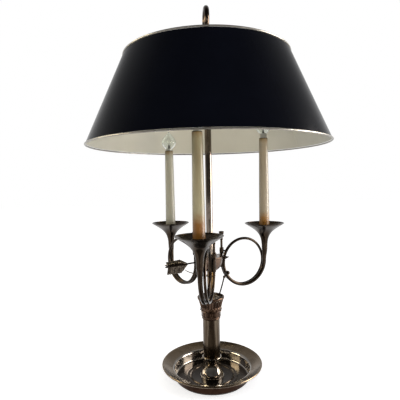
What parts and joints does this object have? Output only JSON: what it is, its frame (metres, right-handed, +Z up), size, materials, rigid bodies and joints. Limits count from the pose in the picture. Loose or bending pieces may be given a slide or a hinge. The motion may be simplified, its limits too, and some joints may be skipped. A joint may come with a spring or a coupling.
{
  "type": "bouillotte lamp",
  "caption": "Table lamp with candle lights standing in coiled horns on a dished column foot, under a tapered metal shade that slides and turns on the post.",
  "frame": {"origin": "centre of the felt's underside, on the lamp's axis at table height", "axes": "+Z up along the post, +X to the right and -Y towards a viewer who faces the front horn"},
  "size_m": [0.4587, 0.4588, 0.7175],
  "materials": {
    "felt": "Dark green wool felt glued under the dish",
    "plated_brass": "Silver plate on spun brass, aged to a pewter brown",
    "polished_plate": "Silver plate polished bright on the bell foot",
    "column_plate": "Silver plate on drawn tube, satin and lightly tarnished",
    "horn_plate": "Silver plate on bent tube, tarnished dark in the bends",
    "bundle_plate": "Silver plate with a grey bloom",
    "bare_brass": "Brass showing through worn plate",
    "post_plate": "Bright polished plate",
    "steel_hardware": "Plain zinc plated steel",
    "bushing_plastic": "Black moulded plastic",
    "candle_sleeve": "Ivory moulded sleeve, browned by heat at its ends",
    "socket_shell": "Dark metal lamp holder",
    "bulb_cap": "Bare pressed aluminium cap",
    "bulb_glass": "Clear blown glass",
    "black_enamel": "Black enamel outside and pale enamel inside, on sheet metal",
    "silver_trim": "Silvered wired edge"
  },
  "bodies": {
    "stand": {"felt_pad": "felt", "dish": "plated_brass", "pipe_washer": "steel_hardware", "pipe_nut": "steel_hardware", "lamp_pipe": "steel_hardware", "bell_foot": "polished_plate", "cord_bushing": "bushing_plastic", "collar": "plated_brass", "column": "column_plate", "quiver": "plated_brass", "arrow_bundle": "bundle_plate", "stem": "bare_brass", "stem_collar": "plated_brass", "hub": "plated_brass", "post": "post_plate", "horn_coil_front": "horn_plate", "horn_coil_right": "horn_plate", "horn_coil_left": "horn_plate", "horn_bell_front": "horn_plate", "horn_bell_right": "horn_plate", "horn_bell_left": "horn_plate", "mouthpiece_front": "horn_plate", "mouthpiece_right": "horn_plate", "mouthpiece_left": "horn_plate", "horn_brackets": "horn_plate", "candle_cup_front": "plated_brass", "candle_cup_right": "plated_brass", "candle_cup_left": "plated_brass", "candle_riser_front": "steel_hardware", "candle_riser_right": "steel_hardware", "candle_riser_left": "steel_hardware", "candle_sleeve_front": "candle_sleeve", "candle_sleeve_right": "candle_sleeve", "candle_sleeve_left": "candle_sleeve", "lamp_socket_front": "socket_shell", "lamp_socket_right": "socket_shell", "lamp_socket_left": "socket_shell", "bulb_cap_front": "bulb_cap", "bulb_cap_right": "bulb_cap", "bulb_cap_left": "bulb_cap", "bulb_glass_front": "bulb_glass", "bulb_glass_right": "bulb_glass", "bulb_glass_left": "bulb_glass", "arrow_shaft": "horn_plate", "arrow_feathers": "bundle_plate", "arrow_head": "horn_plate", "bow_limb": "bundle_plate", "quiver_rod": "horn_plate", "finial_base": "post_plate", "finial_ring": "post_plate"},
    "clamp": {"clamp_collar": "post_plate"},
    "key": {"clamp_key": "post_plate"},
    "shade": {"spider_hub": "post_plate", "spider_arms": "steel_hardware", "spider_ring": "steel_hardware", "shade_shell": "black_enamel", "shade_top_trim": "silver_trim", "shade_bottom_trim": "silver_trim"}
  },
  "joints": [
    {"name": "shade_height", "type": "slide", "parent": "stand", "child": "clamp", "axis": [0, 0, 1], "range_m": [-0.08, 0.04]},
    {"name": "shade_turn", "type": "hinge", "parent": "clamp", "child": "shade", "pos_m": [0, 0, 0.60565], "axis": [0, 0, 1], "continuous": true},
    {"name": "key_turn", "type": "hinge", "parent": "clamp", "child": "key", "pos_m": [0.02, 0, 0.59965], "axis": [1, 0, 0], "range_deg": [0, 180]}
  ]
}
